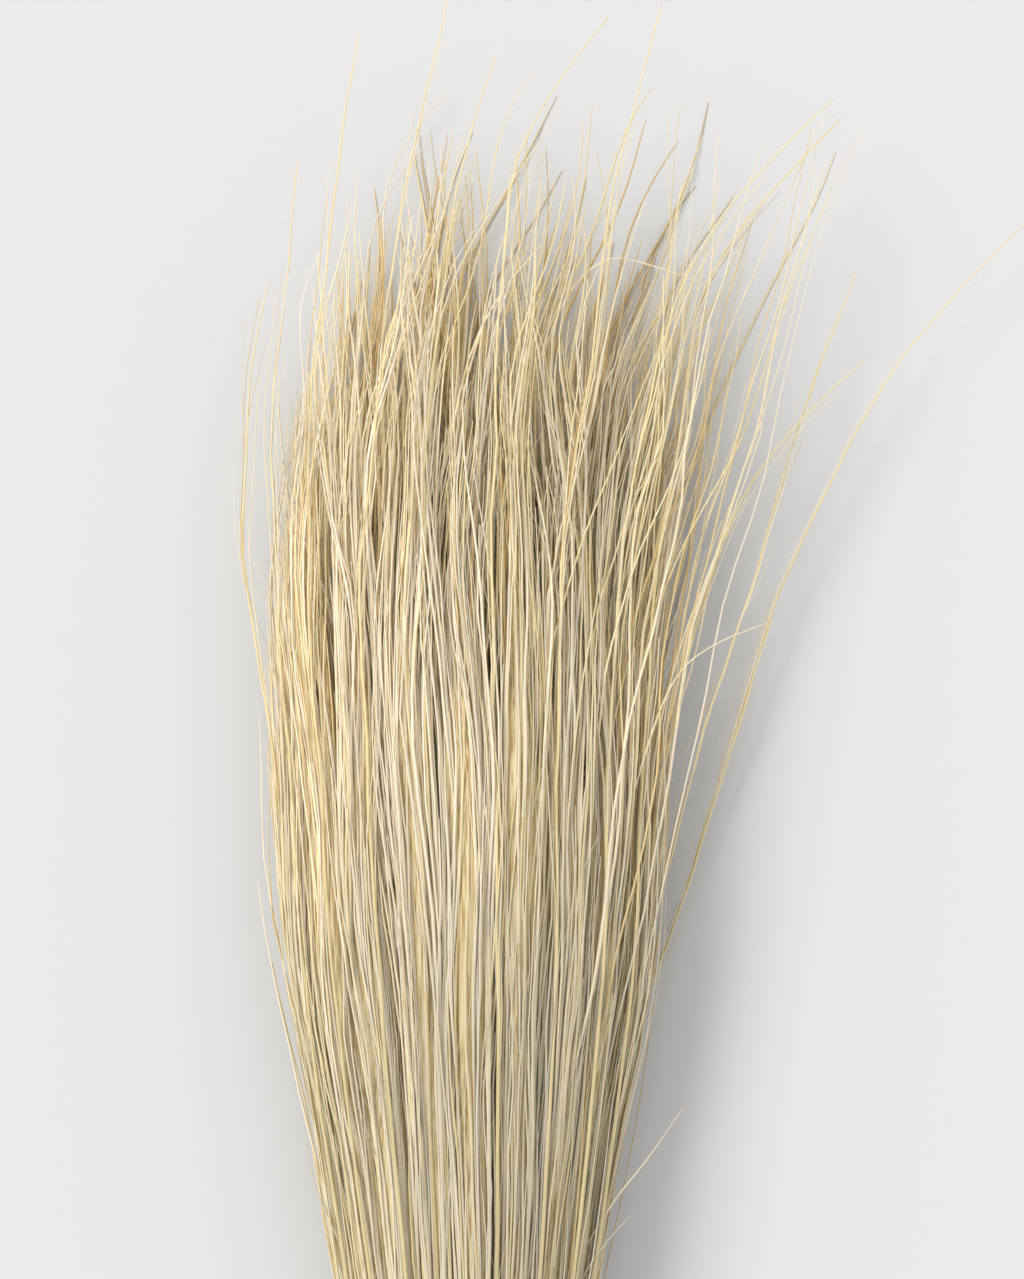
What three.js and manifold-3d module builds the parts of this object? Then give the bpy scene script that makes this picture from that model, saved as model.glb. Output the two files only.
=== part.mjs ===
// A bunch of dried ornamental grass, tied with twine near its cut ends and lying on its side.
// Millimetres, +Z up. The stalks run along +Y, from their cut ends to their tips, and rest on z = 0.
// Most stalks lie pressed together in tufts, one solid each; the long loose ones are solids of their own.
import * as THREE from 'three';
import Module from 'manifold-3d';
import { mergeVertices } from 'three/addons/utils/BufferGeometryUtils.js';

// Lengths along the bunch, measured from the cut ends.
const TIE_AT = 130;
const FAN_AT = 250;
const BELLY_AT = 334;
const SHOULDER_AT = 394;
const WIDEST_AT = 484;
const PACKED_LENGTH = 548;
const NECK_GAP = 55;

// Half widths and half heights of the packed stalks at those places.
const CUT_END_RADIUS = 25;
const TIE_RADIUS = 21;
const NECK_SPREAD = 8;
const NECK_RISE = 1;
const FAN_HALF_WIDTH = 40;
const FAN_HALF_HEIGHT = 24;
const BELLY_HALF_WIDTH = 53;
const BELLY_HALF_HEIGHT = 26;
const SHOULDER_HALF_WIDTH = 57;
const SHOULDER_HALF_HEIGHT = 25;
const WIDEST_HALF_WIDTH = 63;
const WIDEST_HALF_HEIGHT = 23;
const TIP_HALF_WIDTH = 58;
const TIP_HALF_HEIGHT = 20;

// How square the underside lies: 2 is a half ellipse, more is flatter.
const ROUND = 2;
const PART_FLATTENED = 3;
const FLATTENED = 5;
const SETTLE = 1.2;

// Tufts: one in the middle and rings of six more each time round it.
const RINGS = 3;
const TUFT_FILL = 0.94;
const TUFT_POINTS = 10;
const GROOVE_DEPTH = 0.16;
const TWIST = THREE.MathUtils.degToRad(16);
const TAPER_LENGTH = 70;
const END_SCATTER = 34;
const RIM_SHORTFALL = 18;

// Loose stalks, in the valleys between the outer tufts.
const LOOSE_DIAMETER = 1.3;
const LOOSE_TIP_DIAMETER = 0.8;
const LOOSE_SIDES = 6;
const LOOSE_STEPS = 12;

// Twine.
const CLEARANCE = 0.3;
const TWINE_DIAMETER = 2.6;
const TWINE_TURNS = 4;
const TWINE_SIDES = 6;
const STEPS_PER_TURN = 24;
const KNOT_RADIUS = 4.2;
const TWINE_END_LENGTH = 26;

const TUFT_PITCH = 1 / (RINGS + 0.5);
const COIL_RADIUS = TIE_RADIUS + CLEARANCE + TWINE_DIAMETER / 2;
const COIL_PITCH = TWINE_DIAMETER + CLEARANCE;
const TIE_HALF_LENGTH = (TWINE_TURNS * COIL_PITCH) / 2 + TWINE_DIAMETER * 2;
const TIE_CENTRE = TIE_RADIUS + CLEARANCE + TWINE_DIAMETER;
const NECK_HALF_HEIGHT = TIE_RADIUS + NECK_RISE;

// One cross-section of the bunch: half sizes, height of its centre and shape of its underside.
function section(y, halfWidth, halfHeight, centre, underside) {
  return { y, halfWidth, halfHeight, centre, underside };
}

// The cross-sections in order; between two of them every stalk runs straight.
const SECTIONS = [
  section(0, CUT_END_RADIUS, CUT_END_RADIUS, CUT_END_RADIUS - SETTLE, ROUND),
  section(TIE_AT - TIE_HALF_LENGTH, TIE_RADIUS, TIE_RADIUS, TIE_CENTRE, ROUND),
  section(TIE_AT + TIE_HALF_LENGTH, TIE_RADIUS, TIE_RADIUS, TIE_CENTRE, ROUND),
  section(TIE_AT + NECK_GAP, TIE_RADIUS + NECK_SPREAD, NECK_HALF_HEIGHT, NECK_HALF_HEIGHT, PART_FLATTENED),
  section(FAN_AT, FAN_HALF_WIDTH, FAN_HALF_HEIGHT, FAN_HALF_HEIGHT - SETTLE, FLATTENED),
  section(BELLY_AT, BELLY_HALF_WIDTH, BELLY_HALF_HEIGHT, BELLY_HALF_HEIGHT - SETTLE, FLATTENED),
  section(SHOULDER_AT, SHOULDER_HALF_WIDTH, SHOULDER_HALF_HEIGHT, SHOULDER_HALF_HEIGHT - SETTLE, FLATTENED),
  section(WIDEST_AT, WIDEST_HALF_WIDTH, WIDEST_HALF_HEIGHT, WIDEST_HALF_HEIGHT - SETTLE, FLATTENED),
  section(PACKED_LENGTH, TIP_HALF_WIDTH, TIP_HALF_HEIGHT, TIP_HALF_HEIGHT - SETTLE, FLATTENED),
];

const straw = new THREE.MeshStandardMaterial({ color: '#cfbf99', roughness: 0.62, metalness: 0 });
const paleStraw = new THREE.MeshStandardMaterial({ color: '#ddd0ae', roughness: 0.6, metalness: 0 });
const shadedStraw = new THREE.MeshStandardMaterial({ color: '#b09a6c', roughness: 0.66, metalness: 0 });
const jute = new THREE.MeshStandardMaterial({ color: '#a5834f', roughness: 0.9, metalness: 0 });

// A repeatable value from 0 to 1 for each tuft or stalk, so that no two are alike.
function unevenness(index, kind) {
  const wave = Math.sin(index * 12.9898 + kind * 78.233) * 43758.5453;
  return wave - Math.floor(wave);
}

// Where the spot (u, v) of the bunch's unit disc lies in one cross-section.
function spotInSection(u, v, at) {
  const turn = TWIST * (at.y / PACKED_LENGTH);
  const across = u * Math.cos(turn) - v * Math.sin(turn);
  const up = u * Math.sin(turn) + v * Math.cos(turn);
  const reach = Math.hypot(across, up);
  const power = up < 0 ? at.underside : ROUND;
  const roundness = (Math.abs(across) / reach) ** power + (Math.abs(up) / reach) ** power;
  const bulge = reach > 0 ? roundness ** (-1 / power) : 1;
  const z = Math.max(at.centre + at.halfHeight * bulge * up, 0);
  return new THREE.Vector3(at.halfWidth * bulge * across, at.y, z);
}

// A spot at any length along the bunch, straight between where it lies in two cross-sections.
function alongBunch(y, spotAt) {
  const next = Math.max(1, SECTIONS.findIndex((at, index) => at.y >= y || index === SECTIONS.length - 1));
  const [below, above] = [SECTIONS[next - 1], SECTIONS[next]];
  return spotAt(below).lerp(spotAt(above), (y - below.y) / (above.y - below.y));
}

// A straight prism with one step for each layer, its corners then moved to where placeCorner puts them.
function layeredSolid(outline, layers, placeCorner) {
  const steps = layers.length - 1;
  const geometry = new THREE.ExtrudeGeometry(outline, { depth: 1, steps, bevelEnabled: false });
  const corners = geometry.getAttribute('position');
  for (let index = 0; index < corners.count; index += 1) {
    const layer = layers[Math.round(corners.getZ(index) * steps)];
    const corner = placeCorner(corners.getX(index), -corners.getY(index), layer);
    corners.setXYZ(index, corner.x, corner.y, corner.z);
  }
  geometry.computeVertexNormals();
  return geometry;
}

// A round outline of unit radius, fluted if its grooves have a depth.
function roundOutline(points, grooveDepth, phase) {
  const corners = [];
  for (let index = 0; index < points; index += 1) {
    const angle = phase + (index / points) * 2 * Math.PI;
    const radius = index % 2 === 0 ? 1 : 1 - grooveDepth;
    corners.push(new THREE.Vector2(radius * Math.cos(angle), radius * Math.sin(angle)));
  }
  return new THREE.Shape(corners);
}

// A tuft: stalks pressed together, which thins to a point where they end.
function tuftGeometry(ring, angle, index) {
  const end = PACKED_LENGTH - END_SCATTER * unevenness(index, 1) - RIM_SHORTFALL * (ring / RINGS) ** 2;
  const radius = (TUFT_PITCH / 2) * TUFT_FILL;
  const taperStart = end - TAPER_LENGTH;
  const layers = SECTIONS.filter((at) => at.y < taperStart - 1).map((at) => ({ y: at.y, radius }));
  layers.push({ y: taperStart, radius: radius * 0.96 });
  layers.push({ y: end - TAPER_LENGTH * 0.5, radius: radius * 0.72 });
  layers.push({ y: end - TAPER_LENGTH * 0.2, radius: radius * 0.42 });
  layers.push({ y: end, radius: radius * 0.14 });
  const [u, v] = [ring * TUFT_PITCH * Math.cos(angle), ring * TUFT_PITCH * Math.sin(angle)];
  const outline = roundOutline(TUFT_POINTS, GROOVE_DEPTH, Math.PI * unevenness(index, 2));
  return layeredSolid(outline, layers, (x, y, layer) => (
    alongBunch(layer.y, (at) => spotInSection(u + layer.radius * x, v + layer.radius * y, at))
  ));
}

// Every tuft of the bunch, from the middle ring outwards.
function tufts() {
  const meshes = [];
  for (let ring = 0; ring <= RINGS; ring += 1) {
    const inRing = Math.max(1, ring * 6);
    for (let place = 0; place < inRing; place += 1) {
      const index = meshes.length + 1;
      const angle = ((place + (ring % 2 === 0 ? 0.5 : 0)) / inRing) * 2 * Math.PI;
      const shade = [straw, paleStraw, straw, shadedStraw][index % 4];
      const mesh = new THREE.Mesh(tuftGeometry(ring, angle, index), shade);
      mesh.name = `tuft_${String(index).padStart(2, '0')}`;
      meshes.push(mesh);
    }
  }
  return meshes;
}

// Valleys between the outer tufts are numbered anticlockwise from the right-hand side.
// A stalk in a valley lies flush with the outside of the bunch, so it fits inside the twine.
function spotInValley(valley, at) {
  const angle = ((valley + 0.5) / (RINGS * 6)) * 2 * Math.PI;
  const reach = 1 - LOOSE_DIAMETER / 2 / Math.min(at.halfWidth, at.halfHeight);
  return spotInSection(reach * Math.cos(angle), reach * Math.sin(angle), at);
}

// Loose stalks: their valley, how far below the packed tips each leaves it, and its route from there.
// A route's points are counted from where the stalk leaves: across, along and up.
const LOOSE_STALKS = [
  {
    name: 'longest_right',
    valley: -3,
    leaves: 232,
    route: [[24, 57, 3], [39, 114, 6], [69, 186, 8], [86, 213, 8], [121, 251, 10]],
  },
  {
    name: 'forked_right',
    valley: -2,
    leaves: 200,
    route: [[16, 58, 3], [46, 154, 2], [55, 184, 0], [64, 205, 0]],
  },
  {
    name: 'grey_right',
    valley: -1,
    leaves: 150,
    route: [[14, 52, 2], [24, 86, 0], [34, 104, -2], [49, 116, -4], [64, 128, -6]],
  },
  {
    name: 'upper_right',
    valley: 0,
    leaves: 84,
    route: [[7, 26, 3], [14, 88, 2], [32, 110, -2], [44, 119, -4], [56, 134, -4]],
  },
  {
    name: 'arched_right',
    valley: 1,
    leaves: 96,
    route: [[6, 36, 3], [13, 78, 3], [29, 114, 0], [53, 140, -4], [65, 151, -6]],
  },
  {
    name: 'tall_right',
    valley: 2,
    leaves: 88,
    route: [[6, 44, 4], [14, 95, 4], [16, 120, 3], [22, 138, 2], [30, 169, 0]],
  },
  {
    name: 'tall_wavy',
    valley: 3,
    leaves: 92,
    route: [[1, 46, 4], [3, 94, 5], [7, 133, 4], [16, 149, 2], [34, 169, 0]],
  },
  {
    name: 'tall_middle',
    valley: 4,
    leaves: 84,
    route: [[4, 60, 5], [9, 102, 5], [16, 130, 3], [22, 150, 0]],
  },
  {
    name: 'tallest',
    valley: 5,
    leaves: 90,
    route: [[7, 62, 5], [12, 104, 4], [14, 128, 4], [22, 147, 2], [28, 158, 2], [27, 176, 0]],
  },
  {
    name: 'tall_left',
    valley: 6,
    leaves: 86,
    route: [[2, 58, 4], [8, 108, 2], [13, 138, 0], [15, 160, -2]],
  },
  {
    name: 'left_rim',
    valley: 7,
    leaves: 96,
    route: [[-2, 30, 2], [-1, 62, 4], [1, 95, 4], [6, 111, 4], [6, 132, 2]],
  },
  {
    name: 'left_low',
    valley: 8,
    leaves: 150,
    route: [[-9, 44, 0], [-12, 82, 0], [-9, 131, 1], [-4, 150, 2]],
  },
];

// A loose stalk follows its valley, then its own smooth route.
function looseGeometry(valley, leaves, route) {
  const leavesAt = PACKED_LENGTH - leaves;
  const packed = SECTIONS.filter((at) => at.y < leavesAt - 1).map((at) => spotInValley(valley, at));
  const start = alongBunch(leavesAt, (at) => spotInValley(valley, at));
  const points = route.map(([across, along, up]) => new THREE.Vector3(across, along, up).add(start));
  const free = new THREE.CatmullRomCurve3([start, ...points]).getPoints(LOOSE_STEPS);
  const last = packed.length + free.length - 1;
  const layers = [...packed, ...free].map((centre, index) => ({
    centre,
    radius: THREE.MathUtils.lerp(LOOSE_DIAMETER, LOOSE_TIP_DIAMETER, index / last) / 2,
  }));
  return layeredSolid(roundOutline(LOOSE_SIDES, 0, 0), layers, (x, y, { centre, radius }) => (
    new THREE.Vector3(centre.x + radius * x, centre.y, Math.max(centre.z + radius * y, 0))
  ));
}

function looseStalks() {
  return LOOSE_STALKS.map(({ name, valley, leaves, route }) => {
    const mesh = new THREE.Mesh(looseGeometry(valley, leaves, route), straw);
    mesh.name = `loose_${name}`;
    return mesh;
  });
}

// The twine's coil round the bunch, starting and ending on top, under the knot.
class Coil extends THREE.Curve {
  getPoint(share, target = new THREE.Vector3()) {
    const angle = (share * TWINE_TURNS + 0.25) * 2 * Math.PI;
    const along = (share - 0.5) * TWINE_TURNS * COIL_PITCH;
    const [across, up] = [COIL_RADIUS * Math.cos(angle), COIL_RADIUS * Math.sin(angle)];
    return target.set(across, TIE_AT + along, TIE_CENTRE + up);
  }
}

// A closed geometry as a solid that can be joined.
function solidFrom(wasm, geometry) {
  const bare = geometry.clone();
  bare.deleteAttribute('normal');
  bare.deleteAttribute('uv');
  const merged = mergeVertices(bare, 1e-4);
  const vertProperties = new Float32Array(merged.getAttribute('position').array);
  const triVerts = new Uint32Array(merged.getIndex().array);
  return new wasm.Manifold(new wasm.Mesh({ numProp: 3, vertProperties, triVerts }));
}

// A joined solid back as a geometry.
function geometryFrom(solid) {
  const { vertProperties, triVerts } = solid.getMesh();
  const geometry = new THREE.BufferGeometry();
  geometry.setAttribute('position', new THREE.BufferAttribute(vertProperties, 3));
  geometry.setIndex(new THREE.BufferAttribute(triVerts, 1));
  geometry.computeVertexNormals();
  return geometry;
}

// A length of twine along a path.
function twineAlong(path, steps) {
  const outline = roundOutline(TWINE_SIDES, 0, 0);
  const radius = TWINE_DIAMETER / 2;
  const corners = outline.getPoints().map((corner) => corner.multiplyScalar(radius));
  const shape = new THREE.Shape(corners);
  return new THREE.ExtrudeGeometry(shape, { steps, extrudePath: path, bevelEnabled: false });
}

// One of the twine's two free ends, from inside the knot to its cut, lying along the stalks.
function twineEnd(side) {
  const top = TIE_CENTRE + COIL_RADIUS + TWINE_DIAMETER;
  return new THREE.CatmullRomCurve3([
    new THREE.Vector3(0, TIE_AT, top),
    new THREE.Vector3(side * TWINE_END_LENGTH * 0.3, TIE_AT + KNOT_RADIUS, top + TWINE_DIAMETER * 0.6),
    new THREE.Vector3(side * TWINE_END_LENGTH * 0.62, TIE_AT + KNOT_RADIUS + TWINE_END_LENGTH * 0.32, top),
    new THREE.Vector3(side * TWINE_END_LENGTH * 0.8, TIE_AT + TWINE_END_LENGTH * 0.8, top - TWINE_DIAMETER),
  ]);
}

// The tie: coil, knot and two free ends, joined in one solid.
async function twineTie() {
  const wasm = await Module();
  wasm.setup();
  const knot = new THREE.SphereGeometry(KNOT_RADIUS, 10, 7);
  knot.scale(1.25, (TWINE_TURNS * COIL_PITCH) / (2 * KNOT_RADIUS) + 0.1, 0.8);
  knot.translate(0, TIE_AT, TIE_CENTRE + COIL_RADIUS + TWINE_DIAMETER);
  const pieces = [knot, twineAlong(new Coil(), TWINE_TURNS * STEPS_PER_TURN)];
  pieces.push(twineAlong(twineEnd(-1), 6), twineAlong(twineEnd(1), 6));
  const solids = pieces.map((piece) => solidFrom(wasm, piece));
  const joined = solids.reduce((whole, piece) => whole.add(piece));
  const mesh = new THREE.Mesh(geometryFrom(joined), jute);
  mesh.name = 'twine_tie';
  return mesh;
}

const bunch = new THREE.Group();
bunch.add(...tufts(), ...looseStalks(), await twineTie());

// The origin is below the middle of the bunch, on the surface that it lies on.
const box = new THREE.Box3().setFromObject(bunch, true);
const grass = new THREE.Group();
bunch.position.set(-(box.min.x + box.max.x) / 2, -(box.min.y + box.max.y) / 2, -box.min.z);
grass.add(bunch);
grass.updateMatrixWorld(true);

export default grass;
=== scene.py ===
"""A bunch of dried ornamental grass, lying on a pale floor and seen from straight above.

Metres. The stalks run along +Y, from their cut ends to their tips. Each packed tuft of the frame becomes
a tuft of separate stalks, with the fine branchlets of their flower heads; each loose stalk and the twine
follow the frame's own routes.
"""
import math

import bmesh
import bpy
import numpy as np
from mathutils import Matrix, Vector


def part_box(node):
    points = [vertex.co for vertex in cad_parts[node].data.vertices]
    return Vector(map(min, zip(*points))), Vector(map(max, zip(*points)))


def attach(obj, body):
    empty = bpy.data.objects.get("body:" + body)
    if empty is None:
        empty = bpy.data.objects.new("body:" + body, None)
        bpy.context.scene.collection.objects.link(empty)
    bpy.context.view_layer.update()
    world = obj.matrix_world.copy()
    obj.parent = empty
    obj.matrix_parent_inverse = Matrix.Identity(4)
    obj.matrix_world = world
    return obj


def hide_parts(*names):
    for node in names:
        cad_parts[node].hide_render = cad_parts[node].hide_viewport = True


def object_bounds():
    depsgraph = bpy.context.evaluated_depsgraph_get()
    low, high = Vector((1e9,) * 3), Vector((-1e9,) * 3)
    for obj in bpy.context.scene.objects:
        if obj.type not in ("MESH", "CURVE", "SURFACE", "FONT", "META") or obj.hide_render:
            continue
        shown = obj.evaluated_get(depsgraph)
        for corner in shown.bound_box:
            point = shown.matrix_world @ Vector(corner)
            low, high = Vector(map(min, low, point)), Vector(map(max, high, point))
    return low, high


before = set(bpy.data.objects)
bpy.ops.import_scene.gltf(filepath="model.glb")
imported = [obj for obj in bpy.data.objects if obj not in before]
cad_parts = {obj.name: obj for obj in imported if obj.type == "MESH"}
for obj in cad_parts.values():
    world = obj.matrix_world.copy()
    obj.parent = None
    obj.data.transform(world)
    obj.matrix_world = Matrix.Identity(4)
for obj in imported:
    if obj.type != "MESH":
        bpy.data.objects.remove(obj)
CAD_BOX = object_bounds()

MM = 0.001
SEED = 11
# Radians: any start for a wave or a ring, and the step that spreads stalks evenly over a disc.
ANY_TURN = 6.28
GOLDEN_STEP = 2.39996

# Where things are, from the frame.
CUT_END = CAD_BOX[0][1]
BUNCH_TOP = CAD_BOX[1][2]
TIE_LOW, TIE_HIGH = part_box("twine_tie")
AXIS_X = (TIE_LOW.x + TIE_HIGH.x) / 2
TUFTS = sorted(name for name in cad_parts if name.startswith("tuft_"))
LOOSE = sorted(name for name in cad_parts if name.startswith("loose_"))

# Twine: the cord's thickness, the room between its turns, and the three plies it is twisted from.
TWINE = 2.6 * MM
TWINE_GAP = 0.3 * MM
TWINE_TURNS = 4
PLIES = 3
PLY_RADIUS = 0.27 * TWINE
PLY_OFFSET = 0.23 * TWINE
PLY_PITCH = 9 * MM
# The knot: the size of its loops, how much longer and flatter they are, and the gap where the cord goes in.
KNOT_LOOP = 1.5 * MM
KNOT_LONG = 1.12
KNOT_FLAT = 0.95
KNOT_GAP = 0.04
TWINE_FIBRES = 260
FIBRE_RADIUS = 0.05 * MM
COIL_OUTER = (TIE_HIGH.x - TIE_LOW.x) / 2
COIL_LENGTH = TWINE_TURNS * (TWINE + TWINE_GAP)
TIE_Y = TIE_LOW.y + (COIL_LENGTH + TWINE) / 2
TIE_Z = TIE_LOW.z + COIL_OUTER

# Strands, from the thickest to the finest.
STALKS_PER_TUFT = 22
WISPS_PER_TUFT = 3
SIDE_STEMS_PER_TUFT = 185
BARBS_PER_TUFT = 70
ARCHING_STEMS_AT_RIM = 9
SIDE_STEMS_PER_LOOSE_STALK = 5
BARBS_PER_LOOSE_STALK = 12
CULM_RADIUS = 0.64 * MM
SIDE_STEM_RADIUS = 0.38 * MM
BENT_STEM_RADIUS = 0.3 * MM
BARB_RADIUS = 0.13 * MM
TIP_RADIUS = 0.12 * MM
# How much of its tuft a core of packed stalks fills, how far inside the cut ends and below the crown it ends,
# and over what length it thins out there.
CORE_WIDE = 0.95
CORE_HIGH = 0.85
CORE_START = 9 * MM
CORE_BELOW_CROWN = 38 * MM
CORE_TAPER = 84 * MM
# How far above the floor the lowest strands lie.
FLOOR_GAP = 0.05 * MM

# Lengths from the cut end: where culm becomes flower stem, where the heads start to gather into points, and
# where a stalk's place across the bunch is measured, as a share of the half width there.
CULM_END = 330 * MM
GATHER_FROM = 445 * MM
HEAD_LENGTH = 480 * MM
HALF_WIDTH = 66 * MM

# How stalks lie in their tuft: how far out the outermost are, as a share of its half size; how they crowd to
# its rim, where they are seen (0.5 would be even); and how far they drift apart towards the heads.
TUFT_REACH = 1.04
CROWDING = 0.42
DRIFT_X = 4.0 * MM
DRIFT_Z = 2.0 * MM
# How each stalk wanders: a long wave and a short one (wavelength, strength), their size at the tie, and how
# much they grow above it.
WANDER = ((190 * MM, 1.0), (80 * MM, 0.42))
WANDER_AT_TIE = 0.15 * MM
WANDER_GROWTH = 1.25 * MM
# Where stalks end. Some are free of the rest: this share, and this much more of them at the right rim. Of
# the others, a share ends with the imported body, and the rest in a wisp. Wisps and free stalks go on past it.
FREE_SHARE = 0.11
FREE_SHARE_MORE = 0.08
BODY_SHARE = 0.6
LONGEST_WISP = 86 * MM
FREE_STALK_PAST = (10 * MM, 104 * MM)
# The flower heads: how far they curl and sway, where they start to hook over to the right, and how fully the
# stalks of a wisp, and the free ones beside it, gather into its line.
CURL = 4.8 * MM
SWAY = 2.6 * MM
HOOK_FROM = 515 * MM
WISP_GATHER = 0.84
FREE_GATHER = 0.2
# How far finer strands stand off their stalk by their tips, sideways and upwards, and the height that arching
# stems stay below.
SIDE_STEM_OFF = (2.6 * MM, 1.8 * MM)
BARB_OFF = (3.6 * MM, 2.4 * MM)
ARCH_TOP = 50 * MM

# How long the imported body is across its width: (place across, as a share of the half width; length).
CROWN = ((-1.1, 440 * MM), (-0.85, 466 * MM), (-0.6, 506 * MM), (-0.2, 512 * MM),
         (0.2, 510 * MM), (0.6, 492 * MM), (0.85, 460 * MM), (1.1, 434 * MM))
# The points that the heads gather into, in mm: (place across from the axis, length).
PEAKS = ((-58, 508), (-40, 600), (-21, 608), (-7, 594), (6, 586),
         (20, 598), (36, 608), (48, 614), (64, 574), (80, 552))
# Stems bent away from the rest, in mm: (tuft; points of place across from the axis, length, height).
BENT_STEMS = ((31, ((22, 526, 28), (29, 545, 36), (41, 556, 40), (54, 553, 38), (72, 547, 34))),
              (36, ((45, 382, 31), (55, 417, 37), (62, 433, 39), (73, 441, 37), (89, 447, 33))),
              (36, ((26, 236, 31), (36, 256, 31), (43, 265, 31), (48, 270, 30))),
              (35, ((32, 256, 27), (44, 276, 31), (53, 287, 33), (64, 303, 33))),
              (29, ((-31, 246, 26), (-40, 265, 26), (-46, 278, 25), (-49, 292, 24))))
# The tufts' finishes take turns: (slot, how much paler than plain straw).
TUFT_FINISHES = (("pale_straw", 0.06), ("straw", 0.0), ("shaded_straw", -0.06), ("straw", 0.0))


# ---------------------------------------------------------------- small helpers

def smooth_step(value):
    """0 up to 0, 1 from 1, and smooth between the two."""
    value = np.clip(value, 0, 1)
    return value * value * (3 - 2 * value)


def rising(value, start, over):
    """0 up to a start, 1 from a distance past it, and smooth between the two."""
    return smooth_step((value - start) / over)


def running_mean(line, reach):
    """Each value averaged with those within reach, as if the line ran on level past its ends."""
    width = 2 * reach + 1
    return np.convolve(np.pad(line, reach, mode="edge"), np.ones(width) / width, mode="valid")


def smooth_line(values, reach):
    """The line with its corners rounded over a reach, its two ends kept."""
    width = 2 * reach + 1
    before = 2 * values[0] - values[reach:0:-1]
    after = 2 * values[-1] - values[-2:-reach - 2:-1]
    return np.convolve(np.concatenate([before, values, after]), np.ones(width) / width, mode="valid")


def unit(vectors):
    return vectors / np.linalg.norm(vectors, axis=-1, keepdims=True)


def distance_along(line):
    """How far each point of a line is along it."""
    return np.concatenate([[0], np.cumsum(np.linalg.norm(np.diff(line, axis=0), axis=1))])


def even_steps(shape):
    """The shape's rings, as shares of the way along it."""
    return np.linspace(0, 1, shape["steps"] + 1)


def share(values):
    """The values, kept between 0 and 1."""
    return np.clip(values, 0, 1)


def read_points(mesh):
    """A mesh's points, one in each row."""
    points = np.empty(len(mesh.vertices) * 3)
    mesh.vertices.foreach_get("co", points)
    return points.reshape(-1, 3)


def cross_sections(name):
    """The rings of a CAD piece along the bunch: the place of each, and its low and high corners."""
    points = read_points(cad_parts[name].data)
    place = np.round(points[:, 1], 4)
    places = np.unique(place)
    low = np.array([points[place == y].min(0) for y in places])
    high = np.array([points[place == y].max(0) for y in places])
    return places, low, high


def linear(hex_colour):
    """An sRGB hex colour as linear RGBA."""
    parts = [int(hex_colour[i:i + 2], 16) / 255 for i in (1, 3, 5)]
    return [p / 12.92 if p <= 0.04045 else ((p + 0.055) / 1.055) ** 2.4 for p in parts] + [1]


def add_node(tree, kind, settings=None, links=None, stops=()):
    """Adds one shader node, with its settings, the sockets that feed its inputs, and its colour stops."""
    node = tree.nodes.new(kind)
    for key, value in (settings or {}).items():
        if key in node.inputs:
            node.inputs[key].default_value = value
        else:
            setattr(node, key, value)
    for key, source in (links or {}).items():
        tree.links.new(source, node.inputs[key])
    for index, (position, colour) in enumerate(stops):
        elements = node.color_ramp.elements
        if index == len(elements):
            elements.new(position)
        elements[index].position = position
        elements[index].color = linear(colour)
    return node


# ---------------------------------------------------------------- shapes made once

# Where a tube lies on its cell of the UV map: its wall, and the middles and half sizes of its two ends.
WALL_START, WALL_LENGTH = 0.08, 0.84
END_MIDDLES = (0.03, 0.97)
END_LONG, END_WIDE = 0.025, 0.4
CELL_MARGIN = 0.06


def unwrap(points, corners, counts, sides):
    """A tube's place on the unit square: its wall runs across the middle, and its two ends lie beside it."""
    placed = np.zeros((len(corners), 2))
    start = 0
    for count in counts:
        face = points[corners[start:start + count]]
        angle = np.mod(np.arctan2(face[:, 1], face[:, 0]) / (2 * np.pi) + 1e-4, 1)
        if np.ptp(face[:, 2]) > 1e-6:
            if np.ptp(angle) > 0.5:
                angle = np.where(angle < 0.5, angle + 1, angle)
            placed[start:start + count, 0] = WALL_START + WALL_LENGTH * face[:, 2]
            placed[start:start + count, 1] = angle / (1 + 1 / sides)
        else:
            middle = END_MIDDLES[int(face[0, 2] > 0.5)]
            placed[start:start + count, 0] = middle + END_LONG * face[:, 0]
            placed[start:start + count, 1] = 0.5 + END_WIDE * face[:, 1]
        start += count
    return placed


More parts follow.
